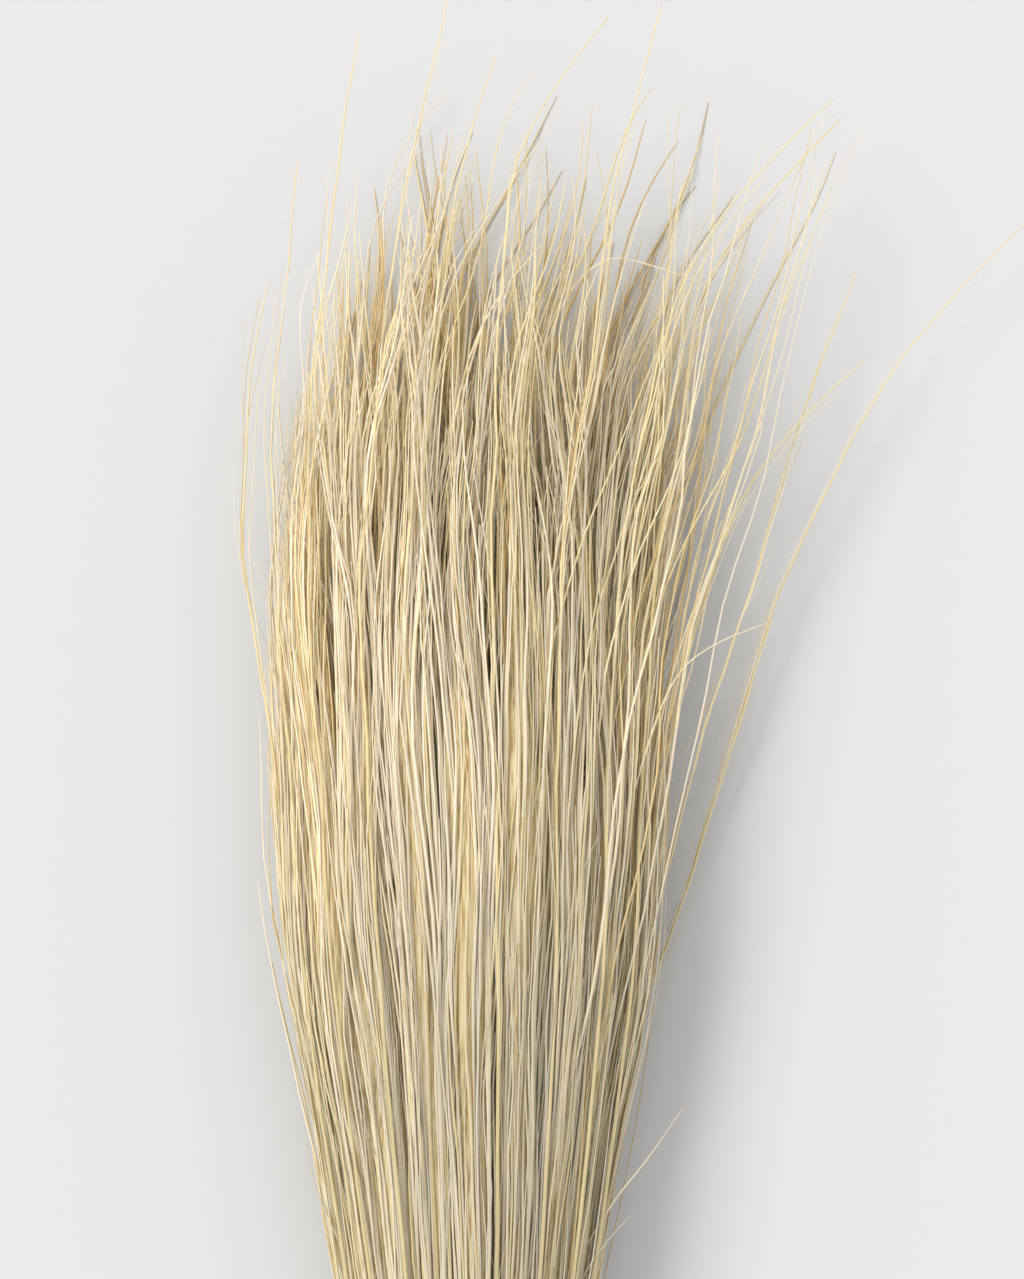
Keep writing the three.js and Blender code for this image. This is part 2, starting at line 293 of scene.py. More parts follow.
def tube_shape(name, sides, steps, fluting=0.0, upright=(0, 0, 1)):
    """A closed tube of unit radius and unit height, as arrays that every copy is made from.

    Fluting draws in every other corner, so that the tube reads as a ring of stalks. A copy is laid with its
    roll measured from the upright direction.
    """
    bpy.ops.object.select_all(action="DESELECT")
    bpy.ops.mesh.primitive_circle_add(vertices=sides, radius=1, fill_type="TRIFAN", location=(0, 0, 0))
    shape = bpy.context.object
    shape.name = name
    bpy.ops.object.mode_set(mode="EDIT")
    if fluting:
        outline = bmesh.from_edit_mesh(shape.data)
        for index, corner in enumerate(sorted(outline.verts, key=lambda v: math.atan2(v.co.y, v.co.x))):
            corner.select = corner.co.length > 0.5 and index % 2 == 0
        outline.select_flush_mode()
        bpy.ops.transform.resize(value=(1 - fluting, 1 - fluting, 1), center_override=(0, 0, 0))
    bpy.ops.mesh.select_all(action="SELECT")
    lift = (0, 0, 1 / steps)
    for _ in range(steps):
        bpy.ops.mesh.extrude_region_move(TRANSFORM_OT_translate={"value": lift})
    bpy.ops.mesh.select_all(action="SELECT")
    bpy.ops.mesh.normals_make_consistent(inside=False)
    bpy.ops.object.mode_set(mode="OBJECT")
    mesh = shape.data
    points = read_points(mesh)
    corners = np.empty(len(mesh.loops), np.int32)
    mesh.loops.foreach_get("vertex_index", corners)
    counts = np.empty(len(mesh.polygons), np.int32)
    mesh.polygons.foreach_get("loop_total", counts)
    bpy.data.objects.remove(shape)
    bpy.data.meshes.remove(mesh)
    return {"points": points, "corners": corners, "counts": counts, "steps": steps,
            "uv": unwrap(points, corners, counts, sides),
            "ring": np.rint(points[:, 2] * steps).astype(int),
            "upright": np.array(upright, float)}


CULM = tube_shape("culm_shape", sides=6, steps=8)
HOLLOW = tube_shape("hollow_shape", sides=6, steps=1)
FLOWER_STEM = tube_shape("flower_stem_shape", sides=3, steps=20)
SIDE_STEM = tube_shape("side_stem_shape", sides=4, steps=9)
CORE = tube_shape("core_shape", sides=44, steps=34, fluting=0.13)
ARCHING_STEM = tube_shape("arching_stem_shape", sides=4, steps=22)
BARB = tube_shape("barb_shape", sides=3, steps=4)
LONG_STALK = tube_shape("long_stalk_shape", sides=6, steps=60)
COIL_PLY = tube_shape("coil_ply_shape", sides=6, steps=520, upright=(0, 1, 0))
CORD_PLY = tube_shape("cord_ply_shape", sides=6, steps=150)


# ---------------------------------------------------------------- copies laid along routes

def lay(shape, routes, radii, rolls):
    """The points of one shape copied along every route: routes (n, steps + 1, 3), radii (n, steps + 1).

    Radii (n, steps + 1, 2) give an oval, wide by high.
    """
    along = unit(np.gradient(routes, axis=1))
    across = unit(np.cross(along, shape["upright"]))
    below = np.cross(along, across)
    ring = shape["ring"]
    flat_x, flat_y = shape["points"][None, :, 0], shape["points"][None, :, 1]
    cosine, sine = np.cos(rolls)[:, None], np.sin(rolls)[:, None]
    turned = cosine * flat_x - sine * flat_y
    raised = sine * flat_x + cosine * flat_y
    wide, high = (radii, radii) if radii.ndim == 2 else (radii[..., 0], radii[..., 1])
    aside = (wide[:, ring] * turned)[..., None] * across[:, ring]
    return routes[:, ring] + aside + (high[:, ring] * raised)[..., None] * below[:, ring]


def build_piece(name, batches, material, node):
    """One piece from batches of copies: (shape, routes, radii, tints, shades).

    Every copy has its own cell of the UV map. It carries its tint and shade, both with painted light in them,
    and whether it is packed stalks.
    """
    rng = np.random.default_rng(len(name) + sum(ord(letter) for letter in name))
    columns = math.ceil(math.sqrt(sum(len(batch[1]) for batch in batches)))
    points, corners, starts, uvs, tints, packed, shades = [], [], [], [], [], [], []
    made, vertex_base, loop_base = 0, 0, 0
    for shape, routes, radii, tint, shade in batches:
        count, per_copy, loops = len(routes), len(shape["points"]), len(shape["corners"])
        oval = radii.ndim == 3
        rolls = rng.uniform(0, 2 * np.pi, count) * (not oval)
        copies = np.arange(count)
        first = np.concatenate([[0], np.cumsum(shape["counts"])[:-1]])
        cell = copies + made
        place = np.stack([cell % columns, cell // columns], 1) / columns
        points.append(lay(shape, routes, radii, rolls).reshape(-1, 3))
        corners.append((shape["corners"][None, :] + copies[:, None] * per_copy + vertex_base).ravel())
        starts.append((first[None, :] + copies[:, None] * loops + loop_base).ravel())
        inset = CELL_MARGIN + (1 - 2 * CELL_MARGIN) * shape["uv"][None]
        uvs.append((place[:, None, :] + inset / columns).reshape(-1, 2))
        tints.append(np.repeat(tint, per_copy))
        shades.append(np.repeat(shade, per_copy))
        packed.append(np.full(count * per_copy, float(oval)))
        made += count
        vertex_base += count * per_copy
        loop_base += count * loops
    points, corners, starts = np.concatenate(points), np.concatenate(corners), np.concatenate(starts)
    mesh = bpy.data.meshes.new(name)
    mesh.vertices.add(len(points))
    mesh.vertices.foreach_set("co", points.astype(np.float32).ravel())
    mesh.loops.add(len(corners))
    mesh.loops.foreach_set("vertex_index", corners.astype(np.int32))
    mesh.polygons.add(len(starts))
    mesh.polygons.foreach_set("loop_start", starts.astype(np.int32))
    mesh.update(calc_edges=True)
    layer = mesh.uv_layers.new(name="OFBake")
    layer.uv.foreach_set("vector", np.concatenate(uvs).astype(np.float32).ravel())
    for key, values in (("tint", tints), ("shade", shades), ("packed", packed)):
        attribute = mesh.attributes.new(key, "FLOAT", "POINT")
        attribute.data.foreach_set("value", np.concatenate(values).astype(np.float32))
    mesh.polygons.foreach_set("use_smooth", np.ones(len(starts), bool))
    mesh.validate()
    mesh.materials.append(material)
    piece = bpy.data.objects.new(name, mesh)
    bpy.context.scene.collection.objects.link(piece)
    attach(piece, "root")
    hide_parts(node)


# ---------------------------------------------------------------- materials

# Real straw has fibre strands about 0.1 mm apart, and real jute fibres are about 0.05 mm thick. Both are too
# fine to show, so they are drawn coarser.
STREAK_WIDTH = 0.42 * MM
STREAK_LENGTH = 25 * MM
JUTE_STRAND = 0.4 * MM
# Straw from its golden sheath (0) to its bleached skin (1).
STRAW_STOPS = ((0.0, "#b99151"), (0.15, "#dabc7e"), (0.38, "#e9d9a8"),
               (0.62, "#ecdfc1"), (0.85, "#e9dec8"), (1.0, "#e5dbca"))
JUTE_STOPS = ((0.3, "#7b5a30"), (0.7, "#c09c68"))
# The low and high values of the noise that count as a dark and a pale streak.
STREAK_RANGE = {"From Min": 0.3, "From Max": 0.7}


def new_tree(name):
    """A new material and its empty node tree."""
    material = bpy.data.materials.new(name)
    material.use_nodes = True
    material.node_tree.nodes.clear()
    return material, material.node_tree


def straw_material():
    """Dried grass straw: a thin waxy skin over pith.

    The skin gives a pale, faintly glossy surface with streaks along it. Its fine hairs give a soft sheen, and
    the rough pith below it scatters light widely. The culms are a little darker than the heads. Each strand's
    colour is scaled by its shade, which carries painted light from the left and painted light deep in the
    bunch.
    Packed stalks get all the colours of straw side by side, with painted shade as lines between them.
    """
    material, tree = new_tree("dried grass straw")
    tint = add_node(tree, "ShaderNodeAttribute", {"attribute_name": "tint"})
    shade = add_node(tree, "ShaderNodeAttribute", {"attribute_name": "shade"})
    packed = add_node(tree, "ShaderNodeAttribute", {"attribute_name": "packed"})
    place = add_node(tree, "ShaderNodeTexCoord")
    stretch = add_node(tree, "ShaderNodeMapping",
                       {"Scale": (1 / STREAK_WIDTH, 1 / STREAK_LENGTH, 1 / STREAK_WIDTH)},
                       {"Vector": place.outputs["Object"]})
    streaks = add_node(tree, "ShaderNodeTexNoise", {"Scale": 1.0, "Detail": 3.0},
                       {"Vector": stretch.outputs["Vector"]})
    # Colour: the strand's own tint, spread out by the streaks where stalks are packed.
    spread = add_node(tree, "ShaderNodeMapRange", {**STREAK_RANGE, "To Min": -0.3, "To Max": 0.44},
                      {"Value": streaks.outputs["Fac"]})
    shift = add_node(tree, "ShaderNodeMath", {"operation": "MULTIPLY"},
                     {0: spread.outputs["Result"], 1: packed.outputs["Fac"]})
    mixed = add_node(tree, "ShaderNodeMath", {"operation": "ADD"},
                     {0: tint.outputs["Fac"], 1: shift.outputs["Value"]})
    ramp = add_node(tree, "ShaderNodeValToRGB", links={"Fac": mixed.outputs["Value"]}, stops=STRAW_STOPS)
    # Streaks darken a little on one strand. Between packed stalks they darken much more: painted shade in the
    # creases between them.
    darkest = add_node(tree, "ShaderNodeMapRange", {"To Min": 0.9, "To Max": 0.66},
                       {"Value": packed.outputs["Fac"]})
    streak_and_crease_shade = add_node(tree, "ShaderNodeMapRange", {**STREAK_RANGE, "To Max": 1.0},
                      {"Value": streaks.outputs["Fac"], "To Min": darkest.outputs["Result"]})
    parts = add_node(tree, "ShaderNodeSeparateXYZ", links={"Vector": place.outputs["Object"]})
    # Colour darkens towards the cut ends, below the heads.
    lower_darker = add_node(tree, "ShaderNodeMapRange",
                   {"interpolation_type": "SMOOTHSTEP", "To Min": 0.80, "To Max": 1.0,
                    "From Min": CUT_END + 300 * MM, "From Max": CUT_END + 440 * MM},
                   {"Value": parts.outputs["Y"]})
    lower_darker_times_shade = add_node(tree, "ShaderNodeMath", {"operation": "MULTIPLY"},
                    {0: lower_darker.outputs["Result"], 1: shade.outputs["Fac"]})
    dim = add_node(tree, "ShaderNodeMath", {"operation": "MULTIPLY"},
                   {0: streak_and_crease_shade.outputs["Result"], 1: lower_darker_times_shade.outputs["Value"]})
    colour = add_node(tree, "ShaderNodeVectorMath", {"operation": "SCALE"},
                      {0: ramp.outputs["Color"], "Scale": dim.outputs["Value"]})
    bump = add_node(tree, "ShaderNodeBump", {"Strength": 0.25, "Distance": 0.1 * MM},
                    {"Height": streaks.outputs["Fac"]})
    shader = add_node(tree, "ShaderNodeBsdfPrincipled",
                      {"Roughness": 0.55, "IOR": 1.5, "Diffuse Roughness": 1.0,
                       "Sheen Weight": 0.4, "Sheen Roughness": 0.5, "Sheen Tint": linear("#f0dfb6")},
                      {"Base Color": colour.outputs["Vector"], "Normal": bump.outputs["Normal"]})
    add_node(tree, "ShaderNodeOutputMaterial", links={"Surface": shader.outputs["BSDF"]})
    return material


def jute_material():
    """Jute twine, twisted from bast fibre: matt and hairy, brown with paler fibres."""
    material, tree = new_tree("jute twine")
    place = add_node(tree, "ShaderNodeTexCoord")
    fibres = add_node(tree, "ShaderNodeTexNoise", {"Scale": 1 / JUTE_STRAND, "Detail": 4.0},
                      {"Vector": place.outputs["Object"]})
    ramp = add_node(tree, "ShaderNodeValToRGB", links={"Fac": fibres.outputs["Fac"]}, stops=JUTE_STOPS)
    bump = add_node(tree, "ShaderNodeBump", {"Strength": 0.5, "Distance": 0.2 * MM},
                    {"Height": fibres.outputs["Fac"]})
    shader = add_node(tree, "ShaderNodeBsdfPrincipled", {"Roughness": 0.9},
                      {"Base Color": ramp.outputs["Color"], "Normal": bump.outputs["Normal"]})
    add_node(tree, "ShaderNodeOutputMaterial", links={"Surface": shader.outputs["BSDF"]})
    return material


def card_material():
    """White studio card: uncoated pulp, so evenly pale and matt."""
    material, tree = new_tree("matt studio card")
    shader = add_node(tree, "ShaderNodeBsdfPrincipled", {"Base Color": linear("#c5c5c5"), "Roughness": 0.9})
    add_node(tree, "ShaderNodeOutputMaterial", links={"Surface": shader.outputs["BSDF"]})
    return material


STRAW = straw_material()
JUTE = jute_material()


# ---------------------------------------------------------------- how a tuft's strands lie

def tuft_frame(name):
    """The CAD tuft's cross-sections, smoothed: centre and half sizes (x, z) by length from the cut end.

    The closed tip is left open, and the route runs on past it in the direction it had.
    """
    places, low, high = cross_sections(name)
    lengths = places - CUT_END
    centre, half = (low + high) / 2, (high - low) / 2
    half[-3:] = half[-4]
    fine = np.linspace(-40 * MM, 680 * MM, 721)
    tip_slope = (centre[-1] - centre[-4]) / (lengths[-1] - lengths[-4])
    result = {"length": fine}
    for key, values, axis in (("x", centre, 0), ("z", centre, 2), ("half_x", half, 0), ("half_z", half, 2)):
        line = np.interp(fine, lengths, values[:, axis])
        if key == "x":
            line = line + np.maximum(fine - lengths[-1], 0) * tip_slope[axis]
        # Close to the tie the route turns sharply; further up it can be smoothed over a longer way.
        far = rising(fine, 190 * MM, 60 * MM)
        result[key] = running_mean(line, 12) * (1 - far) + running_mean(line, 30) * far
    return result


def look_up(tuft, key, lengths):
    return np.interp(lengths, tuft["length"], tuft[key])


def waves(rng, lengths, wavelength, amplitude):
    """A smooth sideways wander for each strand, by length."""
    total = np.zeros_like(lengths)
    for part in (1.0, 0.45):
        period = wavelength * part * rng.uniform(0.75, 1.4, (len(lengths), 1))
        phase = rng.uniform(0, 2 * np.pi, (len(lengths), 1))
        total += part * np.sin(2 * np.pi * lengths / period + phase)
    return total * amplitude


def crown(across):
    """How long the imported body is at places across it, as shares of its half width."""
    return np.interp(across, [place for place, _ in CROWN], [length for _, length in CROWN])


def drawn_in(lengths):
    """The share of its own place across the bunch that a strand keeps, so that all stay in the outline."""
    return 1 - 0.09 * rising(lengths, 150 * MM, 90 * MM) + 0.03 * rising(lengths, 290 * MM, 60 * MM)


class Tuft:
    """The strands of one tuft: where each lies at any length along the bunch."""

    def __init__(self, name, number):
        self.number = number
        self.rng = rng = np.random.default_rng([SEED, number])
        self.frame = tuft_frame(name)
        self.spread_stalks(rng)
        self.gather_wisps(rng)
        self.end_stalks(rng)
        # The bends of the flower heads, which a wisp's stalks share, and the slow swing of the whole tuft.
        self.hook = rng.normal(3.4, 1.9, WISPS_PER_TUFT)[self.wisp] + rng.normal(0, 0.8, STALKS_PER_TUFT)
        self.curl_phase = self.wisp_phase[self.wisp] + rng.normal(0, 0.6, STALKS_PER_TUFT)
        self.curl_length = rng.uniform(78, 130, WISPS_PER_TUFT)[self.wisp] * MM
        self.swing = rng.uniform(0.5, 1.7) * MM
        self.swing_length = rng.uniform(120, 230) * MM
        self.swing_phase = rng.uniform(0, ANY_TURN)
        # Each stalk's own wander: two waves sideways, then two up and down.
        self.phase = rng.uniform(0, ANY_TURN, (4, STALKS_PER_TUFT))
        self.period = rng.uniform(0.7, 1.4, (4, STALKS_PER_TUFT))

    def spread_stalks(self, rng):
        """Gives each stalk its place in the cross-section (shares of the half sizes) and its wisp."""
        count = STALKS_PER_TUFT
        angle = np.arange(count) * GOLDEN_STEP + rng.uniform(0, ANY_TURN)
        reach = TUFT_REACH * ((np.arange(count) + 0.5) / count) ** CROWDING * rng.uniform(0.85, 1.22, count)
        self.p = reach * np.cos(angle)
        self.q = reach * np.sin(angle)
        self.drift_x = rng.normal(0, DRIFT_X, count)
        self.drift_z = rng.normal(0, DRIFT_Z, count)
        self.wisp = rng.integers(0, WISPS_PER_TUFT, count)
        self.wisp_p = rng.uniform(-0.9, 0.9, WISPS_PER_TUFT)
        self.wisp_q = rng.uniform(-0.7, 0.7, WISPS_PER_TUFT)
        self.wisp_phase = rng.uniform(0, ANY_TURN, WISPS_PER_TUFT)

    def gather_wisps(self, rng):
        """Draws each wisp to a point of the bunch beside it, further to the right the further right it is."""
        at = np.array([HEAD_LENGTH])
        centre = look_up(self.frame, "x", at)[0] - AXIS_X
        half = look_up(self.frame, "half_x", at)[0]
        self.across = (centre + self.p * half) / HALF_WIDTH
        wisp_x = centre + self.wisp_p * half
        wisp_across = wisp_x / HALF_WIDTH
        right = rising(wisp_across, 0.25, 0.75)
        left = rising(-wisp_across, 0.5, 0.5)
        peaks = np.array(PEAKS) * MM
        wanted = wisp_x + (6 + 12 * right) * MM * rng.uniform(0, 1, WISPS_PER_TUFT)
        nearest = np.abs(wanted[:, None] - peaks[None, :, 0]).argmin(1)
        self.peak_x = AXIS_X + peaks[nearest, 0] + rng.normal(0, 2.2 * MM, WISPS_PER_TUFT)
        longest = np.minimum(peaks[nearest, 1], crown(wisp_across) + LONGEST_WISP)
        self.wisp_tip = longest + rng.uniform(-34 * MM, 10 * MM, WISPS_PER_TUFT)
        self.pull = rng.uniform(0.7, 0.95, WISPS_PER_TUFT)
        self.lean = rng.normal(0.03, 0.06, WISPS_PER_TUFT) + right * 0.08 - left * 0.02
        self.droop = rng.normal(-0.03, 0.05, WISPS_PER_TUFT)

    def end_stalks(self, rng):
        """Gives each stalk its length: most end with the body, others in a wisp, and a few go on alone."""
        count = STALKS_PER_TUFT
        free_share = FREE_SHARE + FREE_SHARE_MORE * rising(self.across, 0.45, 0.5)
        self.free = rng.uniform(0, 1, count) < free_share
        fanned = 0.30 * rising(self.across, 0.2, 0.9)
        self.free_lean = rng.normal(0.02, 0.08, count) + fanned * rng.uniform(0.3, 1.3, count)
        body = crown(self.across) + rng.normal(-5 * MM, 14 * MM, count)
        gathered = self.wisp_tip[self.wisp] - rng.exponential(30 * MM, count)
        together = np.where(rng.uniform(0, 1, count) < BODY_SHARE, body, gathered)
        alone = crown(self.across) + rng.uniform(*FREE_STALK_PAST, count)
        self.end = np.where(self.free, alone, together)

    def at(self, stalk, lengths):
        """Centres of the given stalks (n,) at lengths (n, k), and how far each has gathered into its wisp."""
        tuft = self.frame
        cx, cz = look_up(tuft, "x", lengths), look_up(tuft, "z", lengths)
        hx, hz = look_up(tuft, "half_x", lengths), look_up(tuft, "half_z", lengths)
        p, q = self.p[stalk][:, None], self.q[stalk][:, None]
        # The stalk's place in its tuft, which swings as a whole and fans out above the tie.
        kept = drawn_in(lengths)
        swing = self.swing * rising(lengths, 230 * MM, 160 * MM)
        swung = swing * np.sin(2 * np.pi * lengths / self.swing_length + self.swing_phase)
        cx = AXIS_X + (cx - AXIS_X) * kept + swung
        fan = np.clip((lengths - 150 * MM) / (400 * MM), 0, 1.2)
        x = cx + p * hx * kept + self.drift_x[stalk][:, None] * fan
        z = cz + q * hz + self.drift_z[stalk][:, None] * fan
        # Its own wander, which grows along it: a long wave and a short one.
        amplitude = WANDER_AT_TIE + WANDER_GROWTH * rising(lengths, 170 * MM, 330 * MM)
        for index, (wavelength, strength) in enumerate(WANDER):
            size = amplitude * strength
            turn = 2 * np.pi * lengths / (wavelength * self.period[index][stalk][:, None])
            x = x + size * np.sin(turn + self.phase[index][stalk][:, None])
            turn = 2 * np.pi * lengths / (wavelength * self.period[index + 2][stalk][:, None])
            z = z + 0.7 * size * np.sin(turn + self.phase[index + 2][stalk][:, None])
        # The curl and the hook of its flower head.
        curl = CURL * rising(lengths, 475 * MM, 100 * MM)
        turn = 2 * np.pi * lengths / self.curl_length[stalk][:, None]
        x = x + curl * np.sin(turn + self.curl_phase[stalk][:, None])
        x = x + self.hook[stalk][:, None] * np.maximum(lengths - HOOK_FROM, 0) ** 2
        # Its wisp, which sways and is pulled to a point, and which a free stalk hardly joins.
        wisp = self.wisp[stalk]
        free = self.free[stalk][:, None]
        tip = self.wisp_tip[wisp][:, None]
        gather = np.where(free, FREE_GATHER, WISP_GATHER) * rising(lengths, GATHER_FROM, tip - GATHER_FROM)
        past = np.maximum(lengths - GATHER_FROM, 0)
        sway = SWAY * smooth_step(past / (100 * MM))
        sway = sway * np.sin(lengths / (15 * MM) + self.wisp_phase[wisp][:, None])
        own_x = cx + self.wisp_p[wisp][:, None] * hx
        pull = self.pull[wisp][:, None] * rising(lengths, 470 * MM, 120 * MM)
        wisp_x = own_x * (1 - pull) + self.peak_x[wisp][:, None] * pull + sway
        wisp_z = cz + self.wisp_q[wisp][:, None] * hz
        lean = np.where(free, self.free_lean[stalk][:, None], self.lean[wisp][:, None])
        x = x * (1 - gather) + wisp_x * gather + lean * past ** 1.4 * 2.2
        z = z * (1 - gather) + wisp_z * gather + self.droop[wisp][:, None] * past
        return x, z, gather


def route(x, lengths, z, radii):
    """Points from their three parts, kept above the floor."""
    return np.stack([x, lengths + CUT_END, np.maximum(z, radii + FLOOR_GAP)], 2)


def through(points, steps):
    """A smooth line through a few points, in even steps of the way along it."""
    points = np.array([(AXIS_X + x * MM, CUT_END + length * MM, z * MM) for x, length, z in points])
    way = np.linspace(0, len(points) - 1, 200)
    straight = [np.interp(way, np.arange(len(points)), points[:, axis]) for axis in range(3)]
    line = np.stack([smooth_line(part, 24) for part in straight], 1)
    gone = distance_along(line)
    wanted = np.linspace(0, gone[-1], steps + 1)
    return np.stack([np.interp(wanted, gone, line[:, axis]) for axis in range(3)], 1)


# ---------------------------------------------------------------- tufts

def culms(tuft, tint, painted_light):
    """The lower stalks: smooth, nearly straight, cut square and hollow at the bottom, with painted shade in
    the ends.
    """
    rng = tuft.rng
    stalk = np.arange(STALKS_PER_TUFT)
    steps = even_steps(CULM)
    start = rng.uniform(0, 4 * MM, (len(stalk), 1))
    end = rng.uniform(CULM_END - 40 * MM, CULM_END + 30 * MM, (len(stalk), 1))
    lengths = start + (end - start) * steps
    thickness = np.clip(np.exp(rng.normal(0, 0.24, (len(stalk), 1))), 0.6, 1.6)
    radii = thickness * CULM_RADIUS * (1 - 0.22 * steps)
    x, z, _ = tuft.at(stalk, lengths)
    # Painted light: culms are painted darker to the right, more steeply than the heads, as shade on the side
    # away from the light; each culm's tone also differs a little at random.
    shade = (2.4 * painted_light - 1.49) * rng.uniform(0.88, 1.04, len(stalk))
    skin = (CULM, route(x, lengths, z, radii), radii, share(tint - 0.08), shade)
    inside = start + np.array([-0.12, 0.5]) * MM
    x, z, _ = tuft.at(stalk, inside)
    # Painted shade: a near-black plug inside each cut end stands for the shadow in the stalk's open hollow.
    hollow_shade = np.full(len(stalk), 0.05), np.full(len(stalk), 0.4)
    hollow = (HOLLOW, route(x, inside, z, radii[:, :2]), 0.5 * radii[:, :2], *hollow_shade)
    return skin, hollow, thickness, end


def core(tuft, painted_light):
    """The stalks packed too deep to be told apart, from inside the cut ends up into the heads."""
    last = crown(tuft.across.mean()) - CORE_BELOW_CROWN
    lengths = (CORE_START + (last - CORE_START) * even_steps(CORE))[None, :]
    left = 1 - 0.94 * rising(lengths[0], last - CORE_TAPER, CORE_TAPER)
    kept = drawn_in(lengths)
    x = AXIS_X + (look_up(tuft.frame, "x", lengths) - AXIS_X) * kept
    z = look_up(tuft.frame, "z", lengths)
    wide = look_up(tuft.frame, "half_x", lengths) * kept * left * CORE_WIDE
    high = look_up(tuft.frame, "half_z", lengths) * left * CORE_HIGH
    radii = np.stack([wide, high], 2)
    # Painted light: the core is painted brighter and more golden than shaded stalks would be, for the light
    # bounced deep into the bunch, and takes the left-to-right painted light as well.
    return CORE, route(x, lengths, z, high), radii, np.full(1, 0.26), np.full(1, 1.12 * painted_light)


def flower_stems(tuft, tint, painted_light, thickness, culm_end):
    """The upper part of each stalk, which thins to its tip."""
    stalk = np.arange(STALKS_PER_TUFT)
    steps = even_steps(FLOWER_STEM)
    start = culm_end - 5 * MM
    lengths = start + (tuft.end[:, None] - start) * (1 - (1 - steps) ** 1.6)
    thinning = (1 - 0.25 * steps) * (1 - 0.72 * steps ** 3)
    radii = np.minimum(thickness, 1.25) * CULM_RADIUS * 0.78 * thinning
    x, z, _ = tuft.at(stalk, lengths)
    # Painted light from the left, times a random tone for each stalk.
    shade = painted_light * tuft.rng.uniform(0.98, 1.08, len(stalk))
    return FLOWER_STEM, route(x, lengths, z, radii), radii, share(tint + 0.12), shade


def side_stems(tuft, tint_shift_with_painted_light, height, painted_light):
    """Stems that each leave a stalk at a small angle and run on beside it."""
    rng = tuft.rng
    count = SIDE_STEMS_PER_TUFT
    steps = even_steps(SIDE_STEM)
    host = rng.integers(0, STALKS_PER_TUFT, count)
    reach = rng.uniform(90 * MM, 210 * MM, (count, 1))
    lowest = 270 * MM
    top = tuft.end[host][:, None] - rng.exponential(20 * MM, (count, 1))
    finish = lowest + (top - lowest) * rng.uniform(0, 1, (count, 1)) ** 0.62
    lengths = finish - reach * (1 - steps)
    x, z, gather = tuft.at(host, lengths)
    away = rng.normal(0, 1, (count, 1)) * SIDE_STEM_OFF[0]
    up = rng.normal(0, 1, (count, 1)) * SIDE_STEM_OFF[1]
    spread = np.sin(steps * np.pi * 0.5) ** 1.2 * (1 - 0.75 * gather)
    x = x + away * spread + waves(rng, lengths, 75 * MM, 0.55 * MM) * np.sqrt(steps)
    z = z + up * spread
    thinning = (1 - 0.2 * steps) * (1 - 0.66 * steps ** 3)
    radii = rng.uniform(0.75, 1.25, (count, 1)) * SIDE_STEM_RADIUS * thinning
    # Painted light: side stems deep in the tuft are painted more golden and brighter, for light bounced and
    # passed through the stalks above; they also take the left-to-right painted light and a random tone.
    tint = share(rng.normal(0.62, 0.16, count) + tint_shift_with_painted_light + 0.16 * height[host])
    shade = painted_light * rng.uniform(0.95, 1.06, count) * (1.04 - 0.06 * height[host])
    return SIDE_STEM, route(x, lengths, z, radii), radii, tint, shade


def arching_stems(tuft):
    """Stems on the right of the bunch, which part from it one by one and bend away."""
    rng = tuft.rng
    count = round(ARCHING_STEMS_AT_RIM * float(rising(tuft.across.mean(), 0.36, 0.3)))
    if not count:
        return []
    steps = even_steps(ARCHING_STEM)
    host = rng.integers(0, STALKS_PER_TUFT, count)
    leave = rng.uniform(290 * MM, 460 * MM, (count, 1))
    last = rng.uniform(480 * MM, 604 * MM, (count, 1))
    lengths = leave + (last - leave) * steps
    x, z, _ = tuft.at(host, np.minimum(lengths, 500 * MM))
    bend = rng.uniform(0.04, 0.5, (count, 1)) * (leave / (450 * MM)) ** 2
    past = lengths - leave
    x = x + bend * past ** 1.35 * 1.6 + waves(rng, lengths, 90 * MM, 1.3 * MM) * steps
    z = np.minimum(z + rng.uniform(-0.02, 0.10, (count, 1)) * past, ARCH_TOP)
    radii = rng.uniform(0.8, 1.25, (count, 1)) * SIDE_STEM_RADIUS * (1 - 0.7 * steps ** 1.6)
    tint = share(rng.normal(0.5, 0.2, count))
    return [(ARCHING_STEM, route(x, lengths, z, radii), radii, tint, np.ones(count))]


def bent_stems(tuft):
    """The few stems that lie right across the others."""
    lines = [through(points, ARCHING_STEM["steps"]) for owner, points in BENT_STEMS if owner == tuft.number]
    if not lines:
        return []
    count = len(lines)
    radii = np.tile(BENT_STEM_RADIUS * (1 - 0.6 * even_steps(ARCHING_STEM) ** 2), (count, 1))
    return [(ARCHING_STEM, np.array(lines), radii, np.full(count, 0.6), np.ones(count))]


def barbs(tuft):
    """Short hairs that stand a little off the stems."""
    rng = tuft.rng
    count = BARBS_PER_TUFT
    steps = even_steps(BARB)
    host = rng.integers(0, STALKS_PER_TUFT, count)
    start = rng.uniform(215 * MM, 500 * MM, (count, 1))
    lengths = start + rng.uniform(12 * MM, 38 * MM, (count, 1)) * steps
    x, z, _ = tuft.at(host, lengths)
    x = x + rng.normal(0, 1, (count, 1)) * BARB_OFF[0] * steps ** 1.3
    z = z + rng.normal(0.5, 1, (count, 1)) * BARB_OFF[1] * steps ** 1.3
    radii = BARB_RADIUS * rng.uniform(0.8, 1.2, (count, 1)) * (1 - 0.5 * steps)
    tint = share(rng.normal(0.7, 0.15, count))
    return BARB, route(x, lengths, z, radii), radii, tint, np.ones(count)


